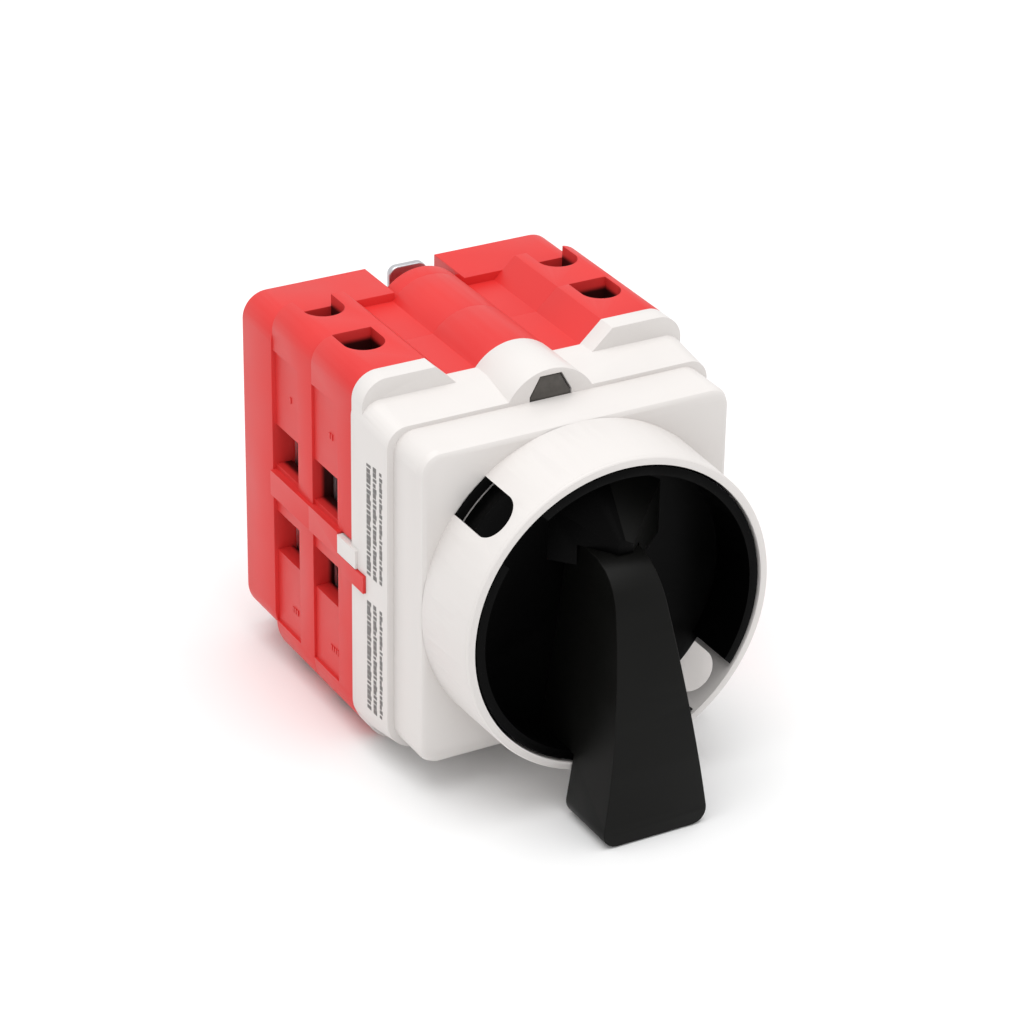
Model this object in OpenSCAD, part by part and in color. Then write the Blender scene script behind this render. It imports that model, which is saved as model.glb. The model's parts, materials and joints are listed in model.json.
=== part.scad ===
// Manual transfer switch, two poles, positions I - 0 - II.
// Rotary load switch: red contact block, white front housing, square
// front plate, padlock collar and a black dial with a lever.
// Frame: millimetres, +Z up, the shaft runs along Y, the front faces -Y.
// The origin is where the shaft axis meets the rear mounting face.

/* [Front] */
// side of the square front plate
plate_w = 64; // [60:0.5:66]
// depth of the front plate
plate_d = 10.5; // [9:0.5:12]
// outer radius of the padlock collar at its rim
collar_r = 31.3; // [30:0.1:31.5]
// height of the padlock collar above the plate
collar_h = 16.3; // [15:0.1:18]
// width of the padlock holes in the collar
lock_w = 8.8; // [7:0.1:9.5]
// length of the padlock holes measured from the plate
lock_len = 13; // [11:0.1:13.5]

/* [Body] */
// width of the contact block
block_w = 66.6; // [65.6:0.2:68]
// height of the contact block over its terminal lobes
block_h = 76; // [75:0.5:78]
// depth of one contact stage
stage_d = 16.5; // [16:0.1:18]
// depth of the rear cover
cover_d = 17; // [16.6:0.1:18]
// depth of the narrower foot on the back of the rear cover
foot_d = 4.5; // [4.2:0.1:5]
// height of the rear cover above the middle
cover_top = 35.5; // [35:0.1:36]
// depth of the rear cover below the middle
cover_low = 33.2; // [33:0.1:35]
// depth of the white front housing
housing_d = 14; // [13.5:0.1:16]

/* [Lever] */
// how far the lever tip reaches from the shaft axis
lever_reach = 38.4; // [36:0.2:42]
// half width of the lever at its tip
lever_half = 11.3; // [9:0.1:12]
// how far the lever stands in front of the plate
lever_front = 30.8; // [28:0.1:34]

/* [Fixing and terminals] */
// spacing of the four rear fixing threads
fix_pitch = 48; // [46:0.5:50]
// distance of a terminal axis from the middle plane
term_x = 25; // [24.5:0.1:25.5]
// lower edge of a wire window above the middle
wire_z0 = 5; // [4.8:0.1:5.4]
// upper edge of a wire window above the middle
wire_z1 = 13.5; // [13.3:0.1:14]
// travel of the contact yoke to either side
yoke_travel = 2.2; // [1.8:0.1:2.4]

/* [Hidden] */
$fn = 64;

// planes along Y, counted from the rear mounting face towards the front
y_cover = -cover_d;
y_mid = y_cover - stage_d;
y_stage = y_mid - stage_d;
y_house = y_stage - housing_d;
y_plate = y_house - plate_d;
y_rim = y_plate - collar_h;
// height of the valley floors and of the centre boss of the block
lobe_z = block_h / 2;
valley_z = lobe_z - 4.2;
boss_r = 10;
// open notch in the top of the rear cover, where the rail latch is pulled
notch_w = 15;
// rounding of the upper and of the fuller lower corners of the block
top_r = 5;
low_r = 9;
// depth of the rear step of the housing, which carries on the block outline
step_d = 4.3;
wall = 2.2;
cavity_d = 10.5;
chamber_d = stage_d - 3;
bolt_x = 12.3;
bolt_z = 28.2;
square = 8;
cam_r = 8.5;
cam_off = yoke_travel / sin(60);
bar_z = wire_z1 - 0.1;
bar_t = 1.6;
bridge_z = 19.6;
red = [0.86, 0.20, 0.19];
white = [0.90, 0.88, 0.86];
black = [0.05, 0.05, 0.05];
steel = [0.72, 0.73, 0.75];
copper = [0.80, 0.48, 0.30];
silver = [0.86, 0.86, 0.84];
brass = [0.80, 0.66, 0.36];
grey = [0.35, 0.34, 0.33];

// extrude an x-z outline along Y from the plane y1 forward by d
module slab(y1, d) {
  translate([0, y1, 0]) rotate([90, 0, 0]) linear_extrude(d) children();
}

// round bar along Y from the plane y1 forward by d
module rod(y1, d, r, x = 0, z = 0) {
  translate([x, y1, z]) rotate([90, 0, 0]) cylinder(h = d, r = r);
}

// block given by its limits
module box(x0, x1, y0, y1, z0, z1) {
  translate([x0, y0, z0]) cube([x1 - x0, y1 - y0, z1 - z0]);
}

// copies above and below the middle plane
module up_down() {
  children();
  mirror([0, 0, 1]) children();
}

// copies to the left and to the right
module left_right() {
  children();
  mirror([1, 0, 0]) children();
}

module four_ways() {
  up_down() left_right() children();
}

module round_rect(w, h, r) {
  union() {
    square([w - 2 * r, h], center = true);
    square([w, h - 2 * r], center = true);
    for (sx = [-1, 1]) {
      for (sz = [-1, 1]) {
        translate([sx * (w / 2 - r), sz * (h / 2 - r)]) circle(r);
      }
    }
  }
}

// rectangle with one rounding for the upper and one for the lower corners
module body_rect(w, top, low, r_top, r_low) {
  union() {
    translate([-w / 2, -low + r_low]) square([w, top + low - r_top - r_low]);
    translate([-w / 2 + r_top, 0]) square([w - 2 * r_top, top]);
    translate([-w / 2 + r_low, -low]) square([w - 2 * r_low, low]);
    for (sx = [-1, 1]) {
      translate([sx * (w / 2 - r_top), top - r_top]) circle(r_top);
      translate([sx * (w / 2 - r_low), -low + r_low]) circle(r_low);
    }
  }
}

// outline of a stage: four terminal lobes, valleys and a round centre boss
module stage_outline() {
  top = lobe_z;
  low = valley_z;
  union() {
    difference() {
      body_rect(block_w, top, top, top_r, low_r);
      for (s = [-1, 1]) {
        scale([1, s]) polygon([[-18.5, top + 1], [-18.5, top], [-14, low], [14, low], [18.5, top], [18.5, top + 1]]);
      }
    }
    intersection() {
      square([2 * boss_r, 2 * (top - 0.2)], center = true);
      for (s = [-1, 1]) {
        translate([0, s * (top - 0.2 - boss_r)]) circle(boss_r);
      }
    }
  }
}

// outline of the rear cover with its open notches top and bottom
module cover_outline() {
  difference() {
    body_rect(block_w + 0.6, cover_top, cover_low, top_r, 6.5);
    translate([-notch_w / 2, cover_top - 6.6]) square([notch_w, 8]);
    polygon([[-7, -cover_low - 1], [-7, -cover_low], [-4, -cover_low + 3],
             [4, -cover_low + 3], [7, -cover_low], [7, -cover_low - 1]]);
  }
}

// hollow of one terminal: wire window, clamp room and screw shaft
module terminal_room(y_back) {
  box(term_x - 4.6, block_w / 2 + 2, y_back - cavity_d, y_back + 0.01, wire_z0, wire_z1);
  box(term_x - 4.6, term_x + 4.6, y_back - cavity_d, y_back + 0.01, 3.2, 23.5);
  box(term_x - 4, term_x + 4, y_back - 4.9, y_back + 0.01, 20, lobe_z + 2);
  translate([term_x, y_back - 4.9, 20]) cylinder(h = lobe_z, r = 4);
  box(18, 20.7, y_back - 8.7, y_back + 0.01, bar_z - 0.05, 24.95);
}

module stage_body(y_back) {
  difference() {
    slab(y_back, stage_d) stage_outline();
    four_ways() terminal_room(y_back);
    // cam room and shaft passage
    rod(y_back + 0.01, chamber_d, 12.2);
    rod(y_back, stage_d + 1, 6.2);
    // room for the yoke and the two contact bridges
    box(-13.6, 13.6, y_back - chamber_d, y_back + 0.01, -15.5, 15.5);
    up_down() box(-18.6, 18.6, y_back - chamber_d, y_back + 0.01, 15, 25.2);
    up_down() box(-5.2, 5.2, y_back - chamber_d, y_back + 0.01, 25, 31.5);
    four_ways() rod(y_back + 1, stage_d + 2, 2.1, bolt_x, bolt_z);
    // shallow panels around the wire windows on both sides
    left_right() box(block_w / 2 - 0.5, block_w / 2 + 1, y_back - cavity_d, y_back + 0.01, -29, 29);
  }
}

// moulded rib between the two window rows, on both sides
module side_rib(y_front, y_back, z0, z1) {
  left_right() box(block_w / 2 - 0.7, block_w / 2 + 0.9, y_front, y_back, z0, z1);
}

module stage_rear() {
  color(red) {
    stage_body(y_cover);
    side_rib(y_mid, y_cover, -1.2, 4);
  }
}

module stage_front() {
  color(red) {
    difference() {
      union() {
        stage_body(y_mid);
        side_rib(y_stage, y_mid, -1.2, 4);
      }
      // pocket for the white tongue of the housing
      left_right() box(block_w / 2 - 1.3, block_w / 2 + 2, y_stage - 1, y_stage + 4.5, -0.3, 4.1);
    }
    // tongue that reaches into the housing
    left_right() box(block_w / 2 - 1.2, block_w / 2 + 0.9, y_stage - 6, y_stage + 3, -3.9, -0.4);
  }
}

module rear_cover() {
  color(red) difference() {
    union() {
      slab(-foot_d, cover_d - foot_d) cover_outline();
      // the round boss of the stages ends on the front part of the cover
      slab(y_cover + 4, 4) translate([0, lobe_z - 0.2 - boss_r]) circle(boss_r);
      // narrower foot that rests on the mounting plate, notched behind the latch
      slab(0, foot_d + 1) difference() {
        round_rect(58, 65.6, 3);
        translate([-10.5, 26.4]) square([21, 10]);
      }
    }
    // channel for a 35 mm rail with its lower lip
    box(-50, 50, -foot_d, 1, -16.4, 17.7);
    box(-50, 50, -foot_d, -2.4, -17.7, -10);
    // guide of the rail latch
    box(-4.2, 4.2, -8.5, -6.4, 15, cover_top + 1);
    box(-4.2, 4.2, -8.5, 1, 15, 21.5);
    box(-2.6, 2.6, -11.4, -6.4, 20, 28);
    // blind bearing of the shaft end
    rod(-8.6, cover_d, 4.05);
    // counterbored holes of the four through bolts
    four_ways() rod(1, cover_d + 2, 2.1, bolt_x, bolt_z);
    four_ways() rod(1, 5, 4.0, bolt_x, bolt_z);
    // seats of the four threaded inserts
    four_ways() rod(1, 10, 3.0, fix_pitch / 2, fix_pitch / 2);
  }
}

module fixing_inserts() {
  color(brass) four_ways() difference() {
    rod(0, 8.5, 3.0, fix_pitch / 2, fix_pitch / 2);
    rod(1, 11, 1.65, fix_pitch / 2, fix_pitch / 2);
  }
}

module front_housing() {
  color(white) difference() {
    union() {
      slab(y_stage, step_d) stage_outline();
      // front part, drafted towards the plate
      hull() {
        slab(y_stage - 0.5, step_d - 0.5) body_rect(block_w + 0.8, valley_z + 0.2, valley_z + 1.6, 4, 6.5);
        slab(y_house + 1, 1) body_rect(block_w, plate_w / 2 + 0.8, plate_w / 2 + 2, 4, 6.5);
      }
      // round boss that carries the plate catch, top middle
      intersection() {
        rod(y_stage - 1, housing_d - 1, boss_r, 0, lobe_z - 0.2 - boss_r);
        box(-20, 20, y_house, y_stage, 30, 60);
      }
    }
    // room of the index wheel and its detent springs
    rod(y_stage + 0.01, housing_d - 3, 20.2);
    rod(y_stage, housing_d + 1, 6.2);
    rod(y_house + 1.4, 3, 8.1);
    four_ways() rod(y_stage + 1, housing_d + 2, 2.1, bolt_x, bolt_z);
    four_ways() slab(y_house + 4, 5) translate([bolt_x, bolt_z]) circle(r = 4.3, $fn = 6);
    // slot of the plate catch and notches of the side interlock
    slab(y_house + 5.2, 6.2) catch_outline(0.25, 27.4);
    translate([0, y_house + 2.6, 21.8]) cylinder(h = 8, r = 2);
    left_right() box(block_w / 2 - 1.2, block_w / 2 + 2, y_stage - 6.1, y_stage + 1, -4, -0.3);
  }
  color(white) left_right() box(block_w / 2 - 1.2, block_w / 2 + 0.95, y_stage - 3, y_stage + 4.4, -0.2, 3.6);
  // two stops that end the turn of the index wheel arm
  color(white) difference() {
    slab(y_stage, housing_d - 3) intersection() {
      difference() {
        circle(20.3);
        circle(14.2);
      }
      polygon([[0, 0], [40 * sin(70), 40 * cos(70)], [40, 0], [40, -40], [-40, -40], [-40, 0], [-40 * sin(70), 40 * cos(70)]]);
    }
    left_right() box(11, 15.9, y_house + 2, y_stage + 1, -8, 8);
    left_right() box(15.85, 16.65, y_house + 2, y_stage + 1, -11.1, 11.1);
    left_right() box(13.5, 18.8, y_house + 2, y_stage + 1, -9.4, 9.4);
  }
}

module front_plate() {
  color(white) difference() {
    union() {
      slab(y_house, plate_d - 1.5) round_rect(plate_w, plate_w, 4.2);
      hull() {
        slab(y_plate + 1.6, 0.1) round_rect(plate_w, plate_w, 4.2);
        slab(y_plate + 0.5, 0.1) round_rect(plate_w - 1, plate_w - 1, 3.7);
        slab(y_plate + 0.1, 0.1) round_rect(plate_w - 2.6, plate_w - 2.6, 3);
      }
    }
    // hollow back with a seat for the gasket
    slab(y_house + 1, plate_d - 3.5 + 1) round_rect(plate_w - 5, plate_w - 5, 2.6);
    rod(y_plate + 8, 10, 11.06);
    // seat of the collar
    rod(y_plate + 1.2, 5, collar_r - 0.25);
    // pocket for the nose of the plate catch
    box(-3.2, 3.2, y_house - 3.4, y_house - 1.9, 28.7, 30.5);
  }
  color(white) difference() {
    rod(y_house, plate_d - 2, 15);
    rod(y_house + 1, plate_d + 2, 11.06);
  }
}

module padlock_collar() {
  color(white) difference() {
    union() {
      translate([0, y_plate, 0]) rotate([90, 0, 0]) cylinder(h = collar_h - 0.6, r1 = collar_r + 0.45, r2 = collar_r + 0.02, $fn = 96);
      rod(y_rim + 0.6, 0.6, collar_r - 0.3);
      translate([0, y_rim + 0.6, 0]) rotate([90, 0, 0]) rotate_extrude() translate([collar_r - 0.6, 0]) circle(0.6);
      rod(y_plate + 1.2, 1.3, collar_r - 0.3);
    }
    rod(y_plate + 2, collar_h + 3, collar_r - 1.6);
    for (a = [135, -45]) rotate([0, -a, 0]) {
      translate([20, 0, 0]) rotate([90, 0, 90]) linear_extrude(20) union() {
        translate([y_plate - lock_len + lock_w / 2, 0]) circle(lock_w / 2);
        translate([y_plate - lock_len + lock_w / 2, -lock_w / 2]) square([lock_len - lock_w / 2, lock_w]);
      }
    }
  }
  color(white) difference() {
    rod(y_plate + 1.2, 1.2, collar_r - 0.3);
    rod(y_plate + 2, 4, collar_r - 5);
  }
}

module dial_cup() {
  cup_r = collar_r - 2.1;
  floor_y = y_plate - 2;
  color(black) difference() {
    union() {
      rod(y_plate - 0.3, collar_h - 0.6, cup_r);
      rod(y_house - 0.4, plate_d + 2, 11);
    }
    difference() {
      rod(floor_y - 2.5, collar_h + 1, cup_r - 1.7);
      // pointer: a low tent that falls from the lever to the twelve o'clock edge
      difference() {
        translate([0, floor_y - 2.5, 0]) polyhedron(
        points = [[-9, 0.5, 8], [15.2, 0.5, 8], [15.2, 0.5, 19], [2.5, 0.5, 26], [-2.5, 0.5, 26], [-9, 0.5, 19],
                  [0.5, -13.2, 9], [0.5, -13.2, 13.4], [0, 0, 26]],
        faces = [[0, 1, 2, 3, 4, 5], [6, 1, 0], [1, 6, 7], [1, 7, 2], [2, 7, 3], [3, 7, 8], [3, 8, 4], [7, 4, 8], [4, 7, 5], [5, 7, 0], [0, 7, 6]]);
        box(-5.3, 5.3, y_rim - 20, floor_y, 0, 12.45);
      }
    }
    // hollow back, open towards the plate
    difference() {
      rod(y_plate, 2, cup_r - 2.2);
      rod(y_plate + 1, 4, 11);
    }
    // wall openings that face the padlock holes
    for (a = [135, -45]) rotate([0, -a, 0]) box(cup_r - 4, cup_r + 2, y_rim - 1, floor_y - 2.5, -5.4, 5.4);
    // square socket for the shaft and seat of the handle screw
    slab(y_house, plate_d + 0.4) square([square + 0.1, square + 0.1], center = true);
    rod(y_plate + 1, 4, 2.1);
    rod(y_plate - 1.9, 30, 4.2);
  }
}

// lever shape: t runs from 0 at the tip to 1 at the top
function lever_t(i) = pow(i / 60, 1.4);
function lever_zz(t) = -lever_reach + t * (12.4 + lever_reach);
function lever_cap(t) = t > 0.86 ? 6 * (1 - sqrt(max(0, 1 - pow((t - 0.86) / 0.14, 2)))) : 0;
function lever_yy(t) = y_plate - lever_front + 10 * t * t + lever_cap(t);
function lever_tip(t) = t < 0.07 ? 3.4 * (1 - sqrt(1 - pow(1 - t / 0.07, 2))) : 0;
function lever_xx(t) = 4.6 + (lever_half - 4.6) * pow(1 - t, 1.2) - lever_tip(t);

module lever_grip() {
  cup_r = collar_r - 2.1;
  floor_y = y_plate - 4.5;
  under_y = y_rim - 0.5;
  color(black) difference() {
    intersection() {
      // side outline, extruded across X
      translate([-20, 0, 0]) rotate([90, 0, 90]) linear_extrude(40) polygon(concat(
        [for (i = [0:60]) [lever_yy(lever_t(i)), lever_zz(lever_t(i))]],
        [[floor_y, 12.4], [floor_y, -cup_r + 3], [under_y, -cup_r + 3], [under_y, -lever_reach + 0.6]]));
      // front outline, extruded along Y
      slab(0, 120) polygon(concat(
        [for (i = [0:60]) [lever_xx(lever_t(i)), lever_zz(lever_t(i))]],
        [for (i = [60:-1:0]) [-lever_xx(lever_t(i)), lever_zz(lever_t(i))]]));
    }
    // recess over the head of the handle screw
    rod(floor_y + 1, 4.2, 4.3);
  }
}

module handle_screw() {
  color(steel) difference() {
    union() {
      rod(y_plate - 1.9, 2.5, 3.6);
      rod(y_plate + 9, 11.2, 1.95);
    }
    rod(y_plate - 3.3, 3, 1.5);
  }
}

module switch_shaft() {
  color(steel) difference() {
    union() {
      box(-square / 2, square / 2, y_plate - 0.3, y_cover - 0.2, -square / 2, square / 2);
      rod(-9.2, cover_d - 8, 4);
    }
    rod(y_plate + 10, 14, 2);
  }
}

// eccentric cam that shifts the yoke of its stage up or down
module cam(y_back) {
  color(grey) difference() {
    union() {
      rod(y_back - 3.2, 7.6, cam_r, cam_off, 0);
      rod(y_back - 0.4, stage_d - 0.8, 6);
    }
    slab(y_back + 1, stage_d + 2) square([square + 0.1, square + 0.1], center = true);
  }
}
module cam_rear() { cam(y_cover); }
module cam_front() { cam(y_mid); }

module index_wheel() {
  color(grey) difference() {
    union() {
      rod(y_stage - 1.2, 8, 13);
      slab(y_stage - 1.2, 8) intersection() {
        circle(19.6);
        polygon([[0, 0], [40 * sin(9.5), 40], [-40 * sin(9.5), 40]]);
      }
      rod(y_stage - 0.4, housing_d - 2, 6);
    }
    for (i = [0:5]) rotate([0, i * 60, 0]) rod(y_stage, 12, 2.45, 13.7, 0);
    slab(y_stage + 1, housing_d + 2) square([square + 0.1, square + 0.1], center = true);
  }
}

// helical spring along +Z from z0 to z1, built from inclined half rings
module coil(z0, z1, r, wire, turns) {
  pitch = (z1 - z0 - 2 * wire) / turns;
  tilt = atan(pitch / (4 * r));
  translate([0, 0, z0 + wire]) {
    for (k = [0:turns]) {
      translate([0, 0, k * pitch * 0.999]) rotate_extrude($fn = 40) translate([r, 0]) circle(wire, $fn = 16);
    }
    for (k = [0:turns - 1]) rotate([0, 0, k * 90]) translate([r, 0, k * pitch]) cylinder(h = pitch, r = wire * 0.98, $fn = 16);
  }
}

// two leaf springs whose noses rest in opposite notches of the wheel
module detent_springs() {
  color(steel) left_right() {
    rod(y_stage - 1.9, 6.6, 2.3, 13.7, 0);
    box(13.7, 16.4, y_stage - 8.5, y_stage - 1.9, -1.5, 1.5);
    box(15.9, 16.6, y_stage - 8.5, y_stage - 1.9, -11, 11);
  }
}

// yoke: a frame around the cam with a window for a bridge above and below
module yoke(y_back) {
  inner = cam_r + 0.3;
  color([0.82, 0.80, 0.74]) difference() {
    union() {
      box(-13.3, 13.3, y_back - 10.6, y_back - 3.4, -inner - 3, inner + 3);
      up_down() box(-4.9, 4.9, y_back - 10.6, y_back - 2.8, inner, 28.6);
    }
    box(-cam_r - cam_off - 0.3, cam_r + cam_off + 0.3, y_back - 11, y_back - 3, -inner, inner);
    up_down() box(-6, 6, y_back - 9.35, y_back - 4.05, bridge_z - 5, bridge_z + 0.1);
  }
}
module yoke_rear() { yoke(y_cover); }
module yoke_front() { yoke(y_mid); }

// contact bridges: copper bars with two silver tips facing the fixed tips
module bridges(y_back) {
  color(copper) up_down() {
    box(-17.6, 17.6, y_back - 9.2, y_back - 4.2, bridge_z - 1.3, bridge_z);
    left_right() translate([14.6, y_back - 6.5, bridge_z - 0.2]) cylinder(h = 1.1, r = 2.1);
  }
}
module bridges_rear() { bridges(y_cover); }
module bridges_front() { bridges(y_mid); }

module contact_springs(y_back) {
  color(steel) up_down() translate([0, y_back - 7, bridge_z - 4.9]) coil(0, 3.5, 1.9, 0.3, 3);
}
module contact_springs_rear() { contact_springs(y_cover); }
module contact_springs_front() { contact_springs(y_mid); }

// fixed contact: an angled copper bar from the terminal over the bridge
module fixed_contacts() {
  color(copper) for (y_back = [y_cover, y_mid]) four_ways() {
    box(19, 28.6, y_back - 8.6, y_back - 3.8, bar_z, bar_z + bar_t);
    box(19, 19 + bar_t, y_back - 8.6, y_back - 3.8, bar_z, 24.9);
    box(11.4, 19 + bar_t, y_back - 8.6, y_back - 3.8, 24.9 - bar_t, 24.9);
  }
}

module contact_tips() {
  color(silver) for (y_back = [y_cover, y_mid]) four_ways() {
    translate([14.6, y_back - 6.5, 22.75]) cylinder(h = 24.9 - bar_t - 22.75, r = 2.1);
  }
}

module terminal_clamps() {
  color(steel) for (y_back = [y_cover, y_mid]) four_ways() difference() {
    box(term_x - 2.6, term_x + 4.2, y_back - 10.1, y_back - 0.6, 3.6, 20);
    box(term_x - 9, term_x + 9, y_back - 9.0, y_back - 1.7, 4.8, 18.6);
    translate([term_x, y_back - 4.9, 10]) cylinder(h = 20, r = 2.5);
  }
}

module terminal_screws() {
  color(steel) for (y_back = [y_cover, y_mid]) four_ways() {
    translate([term_x, y_back - 4.9, 0]) difference() {
      union() {
        translate([0, 0, bar_z + bar_t + 0.05]) cylinder(h = 8, r = 2.45);
        translate([0, 0, 21.6]) cylinder(h = 3.2, r = 3.5);
      }
      translate([-0.45, -5, 23.6]) cube([0.9, 10, 5]);
      translate([-5, -0.45, 23.6]) cube([10, 0.9, 5]);
    }
  }
}

module through_bolts() {
  color(steel) four_ways() difference() {
    union() {
      rod(-1, 2.6, 3.6, bolt_x, bolt_z);
      rod(-3, -y_house - 4, 2, bolt_x, bolt_z);
    }
    rod(1, 3.4, 1.6, bolt_x, bolt_z);
  }
}

module bolt_nuts() {
  color(steel) four_ways() difference() {
    slab(y_house + 3.9, 3) translate([bolt_x, bolt_z]) circle(r = 4.1, $fn = 6);
    rod(y_house + 6, 8, 2.02, bolt_x, bolt_z);
  }
}

module rail_latch() {
  color(silver) {
    // pull tab with its rounded end
    box(-4, 4, -8.2, -6.7, 17.8, 34.5);
    box(-2.2, 2.2, -8.2, -6.7, 34, 36.3);
    for (x = [-2.2, 2.2]) {
      rod(-6.7, 1.5, 1.8, x, 34.5);
    }
    // nose that hooks behind the rail
    box(-4, 4, -6.8, -1.2, 17.8, 18.8);
    box(-4, 4, -2.7, -1.2, 16.1, 18);
    // finger that presses on the spring
    box(-1.2, 1.2, -11, -8.1, 20.4, 21.8);
  }
}

module rail_latch_spring() {
  color(steel) translate([0, -9.8, 21.9]) coil(0, 6, 1.25, 0.3, 5);
}

// trapezoid head of the plate catch
module catch_outline(gap, z0) {
  polygon([[-4.1 - gap, z0], [4.1 + gap, z0], [4.1 + gap, 32.7 + gap], [2 + gap, 36.4 + gap],
           [-2 - gap, 36.4 + gap], [-4.1 - gap, 32.7 + gap]]);
}

// dark steel catch that holds the plate, top middle
module plate_catch() {
  color(grey) {
    slab(y_house + 4.8, 4.6) catch_outline(0, 28.8);
    // tongue and nose that hook into the plate
    box(-3, 3, y_house - 3.2, y_house + 0.4, 28.8, 29.4);
    box(-3, 3, y_house - 3.2, y_house - 2.1, 29.3, 30.3);
  }
}

module catch_spring() {
  color(steel) translate([0, y_house + 2.6, 0]) coil(21.9, 28.7, 1.4, 0.3, 6);
}

module plate_gasket() {
  color(black) slab(y_house - 0.05, 1.4) difference() {
    round_rect(plate_w - 5.2, plate_w - 5.2, 2.5);
    round_rect(plate_w - 10, plate_w - 10, 2);
    translate([0, plate_w / 2 - 3]) square([7, 5], center = true);
  }
}

module shaft_seal() {
  color(black) difference() {
    rod(y_house + 1.3, 1.2, 8);
    rod(y_house + 3, 5, 6.1);
  }
}

rear_cover();
stage_rear();
stage_front();
front_housing();
front_plate();
padlock_collar();
dial_cup();
lever_grip();
handle_screw();
switch_shaft();
cam_rear();
cam_front();
index_wheel();
detent_springs();
yoke_rear();
yoke_front();
bridges_rear();
bridges_front();
contact_springs_rear();
contact_springs_front();
fixed_contacts();
contact_tips();
terminal_clamps();
terminal_screws();
through_bolts();
bolt_nuts();
fixing_inserts();
rail_latch();
rail_latch_spring();
plate_catch();
catch_spring();
plate_gasket();
shaft_seal();
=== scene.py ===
"""Manual transfer switch: red contact block, white front, padlock collar, black dial with a lever."""

import json
import math

import bmesh
import bpy
import numpy as np
from mathutils import Matrix, Vector

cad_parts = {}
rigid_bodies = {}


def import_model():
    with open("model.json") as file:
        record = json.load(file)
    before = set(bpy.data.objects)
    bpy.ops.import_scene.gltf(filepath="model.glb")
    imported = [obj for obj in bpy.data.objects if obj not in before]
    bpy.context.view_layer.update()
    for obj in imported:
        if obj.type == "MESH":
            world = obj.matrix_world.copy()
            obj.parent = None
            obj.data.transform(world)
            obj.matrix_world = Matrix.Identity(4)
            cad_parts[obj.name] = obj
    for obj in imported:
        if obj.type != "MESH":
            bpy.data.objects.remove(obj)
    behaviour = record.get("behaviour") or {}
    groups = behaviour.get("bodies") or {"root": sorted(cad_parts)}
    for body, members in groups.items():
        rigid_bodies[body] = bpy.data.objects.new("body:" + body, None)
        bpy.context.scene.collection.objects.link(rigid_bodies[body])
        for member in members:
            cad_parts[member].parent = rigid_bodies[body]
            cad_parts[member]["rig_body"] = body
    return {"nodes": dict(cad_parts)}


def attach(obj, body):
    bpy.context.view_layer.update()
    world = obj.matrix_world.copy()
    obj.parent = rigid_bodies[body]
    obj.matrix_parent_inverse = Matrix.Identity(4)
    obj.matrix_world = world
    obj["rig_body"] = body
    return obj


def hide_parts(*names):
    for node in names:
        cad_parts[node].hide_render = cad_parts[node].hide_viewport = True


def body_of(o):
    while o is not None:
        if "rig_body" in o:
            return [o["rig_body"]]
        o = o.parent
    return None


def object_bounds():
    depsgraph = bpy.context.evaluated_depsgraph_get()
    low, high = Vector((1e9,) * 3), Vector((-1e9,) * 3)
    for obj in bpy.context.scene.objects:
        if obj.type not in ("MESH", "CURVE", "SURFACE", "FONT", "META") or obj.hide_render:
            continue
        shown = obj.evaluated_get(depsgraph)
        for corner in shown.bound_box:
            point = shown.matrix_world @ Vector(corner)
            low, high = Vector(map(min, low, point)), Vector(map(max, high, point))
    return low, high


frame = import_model()
cad_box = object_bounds()

# --- Rear cover and contact stages -------------------------------------------
# Three mouldings of red glass-filled nylon, pulled together by four long bolts.
# They leave the mould with a fine spark-eroded skin, slow flow marks and edges
# rounded by half a millimetre, so each joint shows as a thin groove.


def moulded_skin():
    """Node group. Height is fine noise of the given grain size; Tone is slow noise of the given flow size, both
    worked out from the place on the piece."""
    tree = bpy.data.node_groups.new("moulded_skin", "ShaderNodeTree")
    tree.interface.new_socket(name="Place", in_out="INPUT", socket_type="NodeSocketVector")
    tree.interface.new_socket(name="Grain", in_out="INPUT", socket_type="NodeSocketFloat")
    tree.interface.new_socket(name="Flow", in_out="INPUT", socket_type="NodeSocketFloat")
    tree.interface.new_socket(name="Height", in_out="OUTPUT", socket_type="NodeSocketFloat")
    tree.interface.new_socket(name="Tone", in_out="OUTPUT", socket_type="NodeSocketFloat")
    inlet = tree.nodes.new("NodeGroupInput")
    outlet = tree.nodes.new("NodeGroupOutput")
    for size, out, detail in (("Grain", "Height", 3.0), ("Flow", "Tone", 2.0)):
        noise = tree.nodes.new("ShaderNodeTexNoise")
        noise.inputs["Detail"].default_value = detail
        tree.links.new(inlet.outputs["Place"], noise.inputs["Vector"])
        tree.links.new(inlet.outputs[size], noise.inputs["Scale"])
        tree.links.new(noise.outputs["Fac"], outlet.inputs[out])
    return tree


SKIN = moulded_skin()


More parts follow.
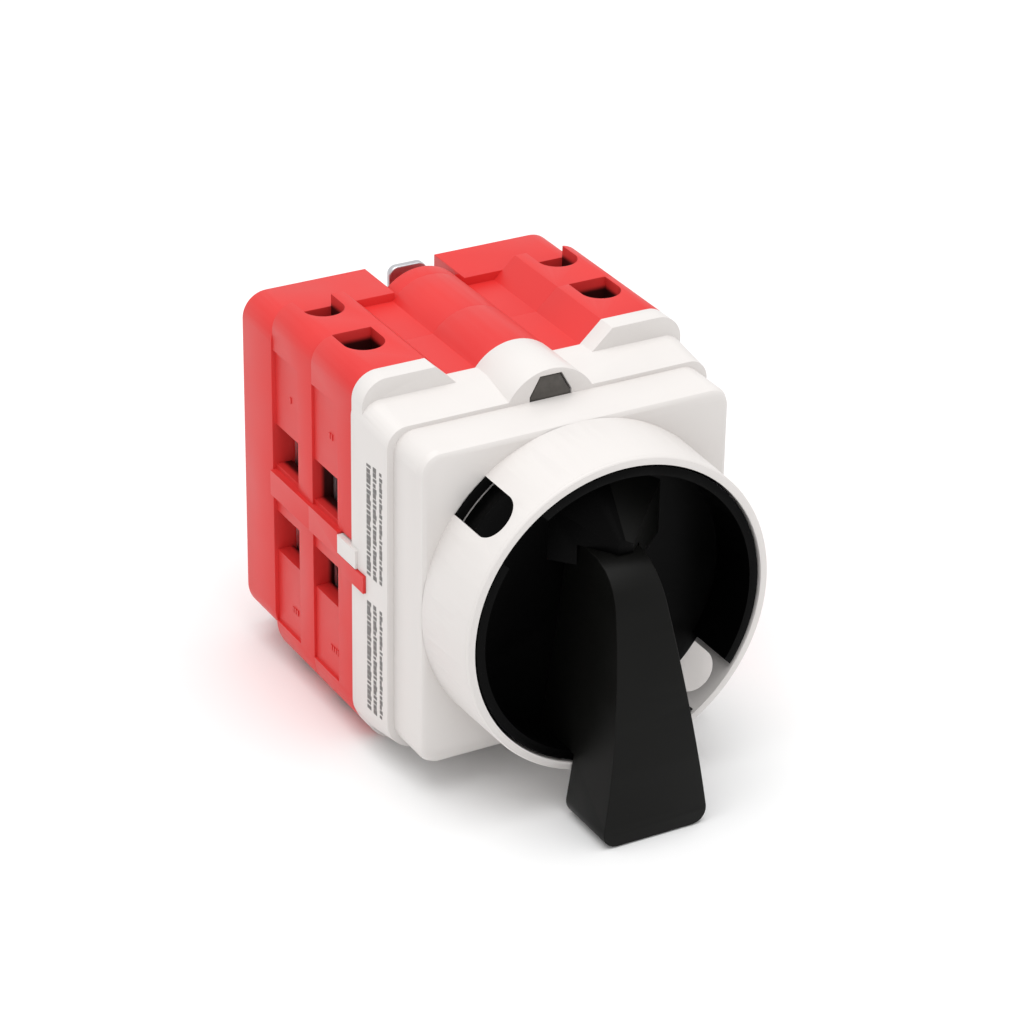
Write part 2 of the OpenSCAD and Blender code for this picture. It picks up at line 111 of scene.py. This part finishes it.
def moulded(name, light, dark, rough, grain=2600.0, flow=55.0, relief=0.12, metal=0.0, gloss=0.5):
    """Finish that runs between two near colours and two near roughnesses with the flow marks, over a bumped
    grain."""
    finish = bpy.data.materials.new(name)
    finish.use_nodes = True
    nodes, links = finish.node_tree.nodes, finish.node_tree.links
    shader = nodes["Principled BSDF"]
    shader.inputs["Metallic"].default_value = metal
    shader.inputs["Specular IOR Level"].default_value = gloss
    place = nodes.new("ShaderNodeTexCoord")
    skin = nodes.new("ShaderNodeGroup")
    skin.node_tree = SKIN
    skin.inputs["Grain"].default_value = grain
    skin.inputs["Flow"].default_value = flow
    links.new(place.outputs["Object"], skin.inputs["Place"])
    tint = nodes.new("ShaderNodeMix")
    tint.data_type = "RGBA"
    tint.inputs[6].default_value = (*dark, 1)
    tint.inputs[7].default_value = (*light, 1)
    links.new(skin.outputs["Tone"], tint.inputs[0])
    links.new(tint.outputs[2], shader.inputs["Base Color"])
    sheen = nodes.new("ShaderNodeMapRange")
    sheen.inputs["From Min"].default_value = 0.3
    sheen.inputs["From Max"].default_value = 0.7
    sheen.inputs["To Min"].default_value = rough[0]
    sheen.inputs["To Max"].default_value = rough[1]
    links.new(skin.outputs["Tone"], sheen.inputs["Value"])
    links.new(sheen.outputs["Result"], shader.inputs["Roughness"])
    bump = nodes.new("ShaderNodeBump")
    bump.inputs["Strength"].default_value = relief
    bump.inputs["Distance"].default_value = 0.00005
    links.new(skin.outputs["Height"], bump.inputs["Height"])
    links.new(bump.outputs["Normal"], shader.inputs["Normal"])
    return finish


def rounded(node, finish, width, segments=3, limit=28):
    """Copy of a CAD node with its loose triangles merged, flat faces joined and edges rounded as the mould
    rounds them. It rides where the node rides and stands for it."""
    source = frame["nodes"][node]
    shell = bmesh.new()
    shell.from_mesh(source.data)
    bmesh.ops.remove_doubles(shell, verts=shell.verts, dist=2e-6)
    bmesh.ops.dissolve_limit(shell, angle_limit=math.radians(0.6), verts=shell.verts, edges=shell.edges)
    bmesh.ops.recalc_face_normals(shell, faces=shell.faces)
    for face in shell.faces:
        face.smooth = True
    mesh = bpy.data.meshes.new(node + "_look")
    shell.to_mesh(mesh)
    shell.free()
    piece = bpy.data.objects.new(node + "_look", mesh)
    bpy.context.scene.collection.objects.link(piece)
    mesh.materials.append(finish)
    edge = piece.modifiers.new("edge", "BEVEL")
    edge.width = width
    edge.segments = segments
    edge.limit_method = "ANGLE"
    edge.angle_limit = math.radians(limit)
    edge.harden_normals = True
    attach(piece, body_of(source)[0])
    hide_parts(node)
    return piece


RED = moulded("red_nylon", (0.71, 0.036, 0.033), (0.62, 0.026, 0.025), (0.38, 0.5), gloss=0.35)


def painted_room_shade():
    """Node group of painted shade. Shade is 0 on the outer skin of a stage and 1 deep in its wire rooms: the
    lesser of the distances to the block's side (33.3 mm) and to its top or bottom (38 mm), eased in from 1.5 to
    2.7 mm (1.3 mm deeper in the lower half, whose corners are fuller), and only beyond the valleys (|x| over 18.6
    mm)."""
    tree = bpy.data.node_groups.new("painted_room_shade", "ShaderNodeTree")
    tree.interface.new_socket(name="Place", in_out="INPUT", socket_type="NodeSocketVector")
    tree.interface.new_socket(name="Shade", in_out="OUTPUT", socket_type="NodeSocketFloat")
    inlet = tree.nodes.new("NodeGroupInput")
    outlet = tree.nodes.new("NodeGroupOutput")

    def step(kind, first, second=None):
        """Math node of this kind on two sockets or numbers; gives its output."""
        node = tree.nodes.new("ShaderNodeMath")
        node.operation = kind
        for socket, value in zip(node.inputs, (first, second)):
            if isinstance(value, float):
                socket.default_value = value
            elif value is not None:
                tree.links.new(value, socket)
        return node.outputs[0]

    split = tree.nodes.new("ShaderNodeSeparateXYZ")
    tree.links.new(inlet.outputs["Place"], split.inputs[0])
    across = step("ABSOLUTE", split.outputs["X"])
    height = step("ABSOLUTE", split.outputs["Z"])
    least = step("MINIMUM", step("SUBTRACT", 0.0333, across), step("SUBTRACT", 0.038, height))
    lower = step("MULTIPLY", step("LESS_THAN", split.outputs["Z"], 0.0), 0.0013)
    depth = step("SUBTRACT", least, lower)
    ease = tree.nodes.new("ShaderNodeMapRange")
    ease.interpolation_type = "SMOOTHSTEP"
    ease.inputs["From Min"].default_value = 0.0015
    ease.inputs["From Max"].default_value = 0.0027
    tree.links.new(depth, ease.inputs["Value"])
    shade = step("MULTIPLY", ease.outputs["Result"], step("GREATER_THAN", across, 0.0186))
    tree.links.new(shade, outlet.inputs["Shade"])
    return tree


def paint_room_shade(finish, deep):
    """Paints shade into the wire rooms: runs the base colour towards the deep colour by the depth in the rooms."""
    nodes, links = finish.node_tree.nodes, finish.node_tree.links
    shader = nodes["Principled BSDF"]
    tint = shader.inputs["Base Color"].links[0].from_socket
    rooms = nodes.new("ShaderNodeGroup")
    rooms.node_tree = painted_room_shade()
    links.new(nodes["Texture Coordinate"].outputs["Object"], rooms.inputs["Place"])
    mix = nodes.new("ShaderNodeMix")
    mix.data_type = "RGBA"
    links.new(rooms.outputs["Shade"], mix.inputs[0])
    links.new(tint, mix.inputs[6])
    mix.inputs[7].default_value = (*deep, 1)
    links.new(mix.outputs[2], shader.inputs["Base Color"])


# The stages' red carries painted shade: deep in the wire rooms, which lie in shade, it runs to near black.
RED_WITH_ROOM_SHADE = moulded("red_stage_room_shade", (0.71, 0.036, 0.033), (0.62, 0.026, 0.025), (0.38, 0.5), gloss=0.35)
paint_room_shade(RED_WITH_ROOM_SHADE, (0.03, 0.0012, 0.0012))
rounded("rear_cover", RED, width=0.0005)
rounded("stage_rear", RED_WITH_ROOM_SHADE, width=0.0005)
rounded("stage_front", RED_WITH_ROOM_SHADE, width=0.0005)


def placed(name, points, faces, finish):
    """Piece of the fixed block made of these points and quads, with its finish."""
    mesh = bpy.data.meshes.new(name)
    mesh.from_pydata(points.reshape(-1, 3).tolist(), [], faces.reshape(-1, 4).tolist())
    piece = bpy.data.objects.new(name, mesh)
    bpy.context.scene.collection.objects.link(piece)
    mesh.materials.append(finish)
    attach(piece, "switch_body")
    return piece


def blocks(name, finish, centres, halves):
    """Small closed boxes as one piece: the corners of box i are centre_i + (+-1, +-1, +-1) * half_i."""
    signs = np.array([(-1, -1, -1), (1, -1, -1), (1, 1, -1), (-1, 1, -1),
                      (-1, -1, 1), (1, -1, 1), (1, 1, 1), (-1, 1, 1)])
    sides = np.array([(0, 3, 2, 1), (4, 5, 6, 7), (0, 1, 5, 4), (1, 2, 6, 5), (2, 3, 7, 6), (3, 0, 4, 7)])
    points = centres[:, None, :] + signs[None] * halves[:, None, :]
    return placed(name, points, sides[None] + 8 * np.arange(len(centres))[:, None, None], finish)


# Moulded pips beside the wire rooms count the poles: one to four low raised bars.
count = np.repeat(np.arange(4), (1, 2, 3, 4))
index = np.concatenate([np.arange(n) for n in (1, 2, 3, 4)])
pip_y = np.where(count % 2 == 0, -0.0236, -0.0401) - 0.0009 * index
pip_z = np.where(count < 2, 0.0212, -0.0235)
for side, left in (("left", -1.0), ("right", 1.0)):
    spots = np.stack([np.full(len(index), left * 0.03281), pip_y, pip_z], axis=1)
    blocks("pole_pips_" + side, RED, spots, np.tile((0.00014, 0.00026, 0.0006), (len(index), 1)))

# --- Front housing, plate and padlock collar ----------------------------------
# White mouldings of the same nylon. The housing closes the block and holds the
# index wheel; the square plate snaps over it and carries the collar, whose two
# openings take the padlocks.

WHITE = moulded("white_nylon", (0.725, 0.695, 0.675), (0.69, 0.66, 0.64), (0.36, 0.48), gloss=0.4)
rounded("front_housing", WHITE, width=0.0006)
rounded("front_plate", WHITE, width=0.0004)
rounded("padlock_collar", WHITE, width=0.0005)

# A thin black ring under the foot of the collar is painted shadow: it
# shows as a black band at the bottom of both padlock holes, which lie in shade there.


def lathed(name, finish, profile, turns=96):
    """Closed ring about the Y axis: point (i, j) is (r_i cos a_j, y_i, r_i sin a_j), a_j = 2 pi j / turns."""
    radius, along = np.array(profile).T
    count = len(radius)
    angle = 2 * np.pi * np.arange(turns)[:, None] / turns
    level = np.broadcast_to(along, (turns, count))
    points = np.stack([radius * np.cos(angle), level, radius * np.sin(angle)], axis=2)
    i, j = np.meshgrid(np.arange(count), np.arange(turns))
    corner = j * count + i
    beside = j * count + (i + 1) % count
    ahead, across = (corner + count) % (turns * count), (beside + count) % (turns * count)
    return placed(name, points, np.stack([corner, ahead, across, beside], axis=2), finish)


# This black serves the real rubber seals and, on the ring below, painted shadow.
RUBBER_AND_SHADOW_BLACK = moulded("seal_rubber", (0.004, 0.004, 0.004), (0.002, 0.002, 0.002), (0.6, 0.75), gloss=0.1)
lathed("collar_foot_painted_shadow", RUBBER_AND_SHADOW_BLACK,
       [(0.02935, -0.07445), (0.0316, -0.07445), (0.0316, -0.07458), (0.02935, -0.07458)])

# The rating print on the left side of the housing is three lines of plain grey
# strokes in two groups of 22, pad-printed on the drafted face.
ROWS, STROKES, FILM = 3, 44, 0.00004
PRINT = moulded("grey_print", (0.19, 0.18, 0.175), (0.11, 0.105, 0.10), (0.5, 0.6), flow=900)
row, stroke = np.divmod(np.arange(ROWS * STROKES), STROKES)
stroke_z = 0.0229 - 0.00105 * stroke - np.where(stroke >= STROKES // 2, 0.0052, 0)
stroke_y = -0.0571 - 0.0021 * row
long = 0.00028 + 0.00022 * np.abs(np.sin(2.4 * stroke + 1.7 * row))
tall = 0.0006 + 0.00034 * np.abs(np.cos(1.3 * stroke + 0.9 * row))
face_x = -0.0337 + 0.0004 * (-0.0543 - stroke_y) / 0.0087
blocks("rating_print", PRINT, np.stack([face_x, stroke_y, stroke_z], axis=1),
       np.stack([np.full(ROWS * STROKES, FILM), tall, long], axis=1))

# --- Dial cup and lever ---------------------------------------------------------
# Black nylon, the cup with a pointer tent that falls from the lever's top to the
# twelve o'clock edge. The lever is moulded with finely grained, satin faces.

BLACK = moulded("black_nylon", (0.0055, 0.0055, 0.0048), (0.0032, 0.0032, 0.003), (0.34, 0.48),
                 relief=0.2, gloss=0.12)
# The cup's black is darker than the lever's as painted shade, for the inside of the cup is nearly unlit.
CUP_SHADE_BLACK = moulded("black_cup_painted_shade", (0.0016, 0.0016, 0.0016), (0.0007, 0.0007, 0.0007), (0.3, 0.4), gloss=0.05)
cup = rounded("dial_cup", CUP_SHADE_BLACK, width=0.0003)
# Painted light: the right slope of the pointer tent, where the light falls, takes the lighter black of the lever;
# the rest of the cup keeps the darker black of painted shade, for it is nearly unlit.
cup.data.materials.append(BLACK)
spot = np.empty(3 * len(cup.data.polygons))
aim = np.empty_like(spot)
cup.data.polygons.foreach_get("center", spot)
cup.data.polygons.foreach_get("normal", aim)
spot, aim = spot.reshape(-1, 3), aim.reshape(-1, 3)
above_lever, inside_wall = spot[:, 2] > 0.01, np.hypot(spot[:, 0], spot[:, 2]) < 0.025
lit_slope = (aim[:, 0] > 0.2) & (aim[:, 1] < -0.3) & above_lever & inside_wall
cup.data.polygons.foreach_set("material_index", lit_slope.astype(np.int32))
rounded("lever_grip", BLACK, width=0.0007)


def paint(finish, *names):
    """Gives each CAD node this finish in place of the one it came with."""
    for name in names:
        slots = frame["nodes"][name].material_slots
        for holder in slots:
            holder.material = finish


# --- Plate catch and rail latch ---------------------------------------------------
# The catch is blackened steel with a dull, scratched face. The latch is a bright
# zinc-plated pressing whose rounded tab is pulled up to free the rail.

DARK_STEEL = moulded("blackened_steel", (0.11, 0.10, 0.09), (0.04, 0.035, 0.03), (0.45, 0.7),
                     grain=1500, flow=900, relief=0.5)
ZINC = moulded("zinc_plate", (0.74, 0.74, 0.76), (0.58, 0.58, 0.61), (0.28, 0.42),
               grain=1800, flow=160, metal=1.0)
rounded("plate_catch", DARK_STEEL, width=0.0002)
rounded("rail_latch", ZINC, width=0.00025)

# --- Terminals -----------------------------------------------------------------------
# Each wire room holds a zinc-plated clamp cage, lifted by a screw with a cross
# slot, under an angled bar of bright copper with a silver tip.

COPPER = moulded("copper_bar", (0.80, 0.42, 0.26), (0.62, 0.30, 0.18), (0.25, 0.4),
                 grain=1500, flow=200, metal=1.0)
SILVER = moulded("silver_tip", (0.86, 0.85, 0.82), (0.74, 0.73, 0.70), (0.22, 0.36),
                 grain=2000, flow=300, metal=1.0)
paint(ZINC, "terminal_clamps", "terminal_screws")
paint(COPPER, "fixed_contacts", "bridges_rear", "bridges_front")
paint(SILVER, "contact_tips")

# --- Works inside ----------------------------------------------------------------------
# A square steel shaft turns two grey cams and the notched index wheel. Ivory
# yokes follow the cams, and drawn steel springs press the bridges and the wheel.

CAM = moulded("grey_acetal", (0.16, 0.155, 0.15), (0.11, 0.105, 0.10), (0.4, 0.5))
YOKE = moulded("ivory_nylon", (0.66, 0.62, 0.52), (0.60, 0.56, 0.46), (0.4, 0.5))
SPRING = moulded("spring_wire", (0.55, 0.55, 0.56), (0.40, 0.40, 0.41), (0.25, 0.38), metal=1.0)
paint(ZINC, "switch_shaft", "handle_screw")
paint(CAM, "cam_rear", "cam_front", "index_wheel")
paint(YOKE, "yoke_rear", "yoke_front")
paint(SPRING, "detent_springs", "contact_springs_rear", "contact_springs_front", "rail_latch_spring",
      "catch_spring")

# --- Fixings and seals --------------------------------------------------------------------
# Four long bolts with hexagon nuts clamp the block. Brass inserts take
# the mounting screws, and two black rubber seals keep water off the shaft.

BRASS = moulded("brass_insert", (0.75, 0.56, 0.26), (0.60, 0.43, 0.18), (0.25, 0.4),
                grain=1500, flow=300, metal=1.0)
paint(ZINC, "through_bolts", "bolt_nuts")
paint(BRASS, "fixing_inserts")
paint(RUBBER_AND_SHADOW_BLACK, "plate_gasket", "shaft_seal")

# --- Floor, light and camera ------------------------------------------------------------------
# A white table under an even studio sky with one wide soft light overhead;
# the camera looks down at the lever's left side.

floor_z = cad_box[0][2] - 0.0002
half = 6.0
table = bpy.data.meshes.new("table")
table.from_pydata([(-half, -half, floor_z), (half, -half, floor_z), (half, half, floor_z), (-half, half, floor_z)],
                  [], [(0, 1, 2, 3)])
floor = bpy.data.objects.new("table", table)
bpy.context.scene.collection.objects.link(floor)
TABLE = bpy.data.materials.new("table_white")
TABLE.use_nodes = True
TABLE.node_tree.nodes["Principled BSDF"].inputs["Base Color"].default_value = (0.92, 0.92, 0.92, 1)
TABLE.node_tree.nodes["Principled BSDF"].inputs["Roughness"].default_value = 0.9
table.materials.append(TABLE)

sky = bpy.data.worlds.new("studio")
bpy.context.scene.world = sky
sky.use_nodes = True
sky.node_tree.nodes["Background"].inputs["Color"].default_value = (1, 1, 1, 1)
sky.node_tree.nodes["Background"].inputs["Strength"].default_value = 0.8


def soft_light(name, place, target, size, power):
    """Square area light at a place, turned so that its beam meets the target."""
    lamp = bpy.data.lights.new(name, "AREA")
    lamp.size = size
    lamp.energy = power
    holder = bpy.data.objects.new(name, lamp)
    bpy.context.scene.collection.objects.link(holder)
    away = (place - target).normalized()
    holder.matrix_world = Matrix.Translation(place) @ away.to_track_quat("Z", "Y").to_matrix().to_4x4()
    return holder


middle = Vector((0, -0.05, 0))
soft_light("overhead", Vector((-0.1, -0.15, 0.9)), middle, 0.9, 6.0)

EYE = Vector((-0.297387, -0.57931, 0.320526))
RIGHT = Vector((0.87527, -0.48341, 0.01451))
UP = Vector((0.21335, 0.41288, 0.88545))
AHEAD = Vector((0.43403, 0.77191, -0.46452))
lens = bpy.data.cameras.new("camera")
lens.sensor_width = 36
lens.lens = 128.32
lens.clip_start = 0.01
camera = bpy.data.objects.new("camera", lens)
bpy.context.scene.collection.objects.link(camera)
turn = Matrix((RIGHT, UP, -AHEAD)).transposed()
camera.matrix_world = Matrix.Translation(EYE) @ turn.to_4x4()
bpy.context.scene.camera = camera
bpy.context.scene.view_settings.view_transform = "Standard"
